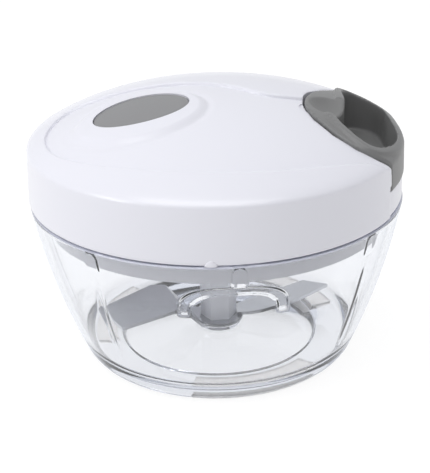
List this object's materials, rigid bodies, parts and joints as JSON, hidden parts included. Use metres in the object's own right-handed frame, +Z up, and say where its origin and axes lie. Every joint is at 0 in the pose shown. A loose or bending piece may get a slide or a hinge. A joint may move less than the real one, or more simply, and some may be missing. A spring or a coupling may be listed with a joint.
{
  "type": "hand-pulled food processor",
  "caption": "Small manual food processor: clear tapered bowl, domed white lid, grey pull handle that spins steel blades by a cord.",
  "frame": {"origin": "on the bowl's axis, in the plane of the foot pads that it stands on", "axes": "+Z up along the blade spindle, +X the way the handle is pulled"},
  "size_m": [0.1297, 0.1303, 0.0929],
  "materials": {
    "clear_bowl": "clear moulded plastic, glossy",
    "white_lid": "semi-gloss",
    "white_inner": "semi-gloss",
    "grey_handle": "satin",
    "grey_badge": "satin",
    "blade_steel": "brushed",
    "hub_plastic": "semi-gloss",
    "pin_steel": "turned",
    "spring_steel": "rolled",
    "pad_rubber": "matte",
    "seal_silicone": "matte",
    "cord": "braided",
    "gear_plastic": "natural"
  },
  "bodies": {
    "bowl_body": {"bowl": "clear_bowl", "foot_pads": "pad_rubber", "spindle_pin": "pin_steel"},
    "seal_ring": {"lid_seal": "seal_silicone"},
    "lid": {"lid_cover": "white_lid", "lid_base": "white_inner", "lid_screws": "pin_steel", "top_badge": "grey_badge", "coupler_bush": "gear_plastic", "cord_eyelet": "pin_steel", "cord_lead": "cord", "power_spring": "spring_steel", "spring_arbor": "gear_plastic", "reel_axle": "pin_steel", "reel_bridge": "gear_plastic", "bridge_screws": "pin_steel"},
    "reel_body": {"reel": "gear_plastic", "reel_flange": "gear_plastic", "wound_cord": "cord", "drive_coupler": "gear_plastic", "coupler_clip": "pin_steel"},
    "handle": {"pull_handle": "grey_handle", "cord_tail": "cord", "cord_knot": "cord"},
    "blade_unit": {"blade_hub": "hub_plastic", "lower_blade": "blade_steel", "upper_blade": "blade_steel", "blade_spacer": "hub_plastic", "drive_cap": "hub_plastic"}
  },
  "joints": [
    {"name": "lid_lift", "type": "slide", "parent": "bowl_body", "child": "seal_ring", "axis": [0, 0, 1], "range_m": [0, 0.1]},
    {"name": "lid_twist", "type": "hinge", "parent": "seal_ring", "child": "lid", "pos_m": [0, 0, 0.06], "axis": [0, 0, 1], "range_deg": [0, 20]},
    {"name": "handle_pull", "type": "slide", "parent": "lid", "child": "handle", "axis": [1, 0, 0], "range_m": [0, 0.35], "stiffness_N_per_m": 15, "springref_m": -0.3},
    {"name": "reel_spin", "type": "hinge", "parent": "lid", "child": "reel_body", "pos_m": [0, 0, 0.07], "axis": [0, 0, 1], "range_deg": [0, 984]},
    {"name": "blade_spin", "type": "hinge", "parent": "bowl_body", "child": "blade_unit", "pos_m": [0, 0, 0.02], "axis": [0, 0, 1], "range_deg": [0, 984]}
  ],
  "couplings": [
    {"joint": "reel_spin", "follows": "handle_pull", "rad_per_m": 48.781},
    {"joint": "blade_spin", "follows": "handle_pull", "rad_per_m": 48.781}
  ]
}
